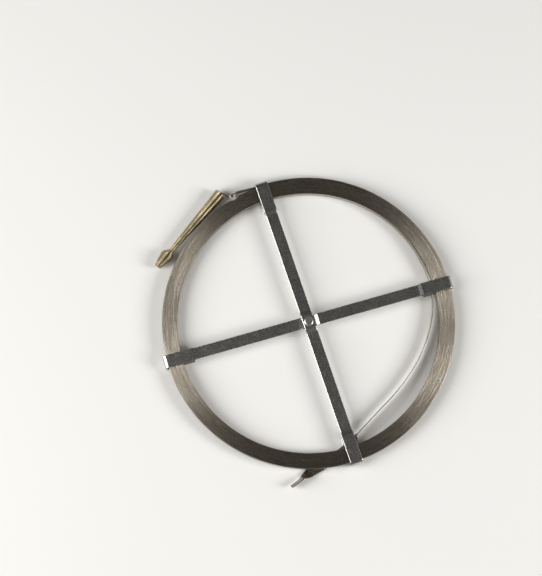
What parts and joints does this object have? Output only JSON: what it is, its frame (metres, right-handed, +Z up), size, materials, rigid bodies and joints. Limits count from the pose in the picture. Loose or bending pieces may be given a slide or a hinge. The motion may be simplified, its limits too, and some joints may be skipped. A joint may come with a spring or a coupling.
{
  "type": "drain auger",
  "caption": "Flat spring-steel drain auger tape wound on edge in a riveted cross-shaped strip frame, with a tapered close-wound spring head hooked to the tape's outer end.",
  "frame": {"origin": "Centre of the underside of the rivet's foot, on the axis that the two strips and the tape pack share. The surface the frame lies on is 5.77 mm below it.", "axes": "+Y along the upper strip, towards the keeper beside the tape's eye; +Z up, out of the frame's face; +X to the right, 2.6 degrees from the lower strip's right arm"},
  "size_m": [0.1548, 0.1598, 0.0097],
  "materials": {
    "zinc_plated_strip": "zinc-plated, satin, light scratches",
    "rivet_steel": "zinc-plated, satin",
    "tape_steel": "oiled spring steel, satin, dark",
    "hook_wire": "dark bare wire",
    "head_wire": "brass-plated spring wire, bright"
  },
  "bodies": {
    "frame": {"upper_strip": "zinc_plated_strip", "centre_rivet": "rivet_steel"},
    "cross_strip": {"lower_strip": "zinc_plated_strip"},
    "tape": {"steel_tape": "tape_steel"},
    "head": {"head_hook": "hook_wire", "auger_head": "head_wire"}
  },
  "joints": [
    {"name": "strip_slew", "type": "hinge", "parent": "frame", "child": "cross_strip", "pos_m": [0, 0, 0], "axis": [0, 0, 1], "range_deg": [-3, 8]},
    {"name": "tape_turn", "type": "hinge", "parent": "frame", "child": "tape", "pos_m": [0, 0, 0], "axis": [0, 0, 1], "range_deg": [-1.5, 10]},
    {"name": "head_swing", "type": "hinge", "parent": "tape", "child": "head", "pos_m": [-0.0162, 0.07528, -0.00125], "axis": [0, 0, -1], "range_deg": [0, 100]}
  ]
}
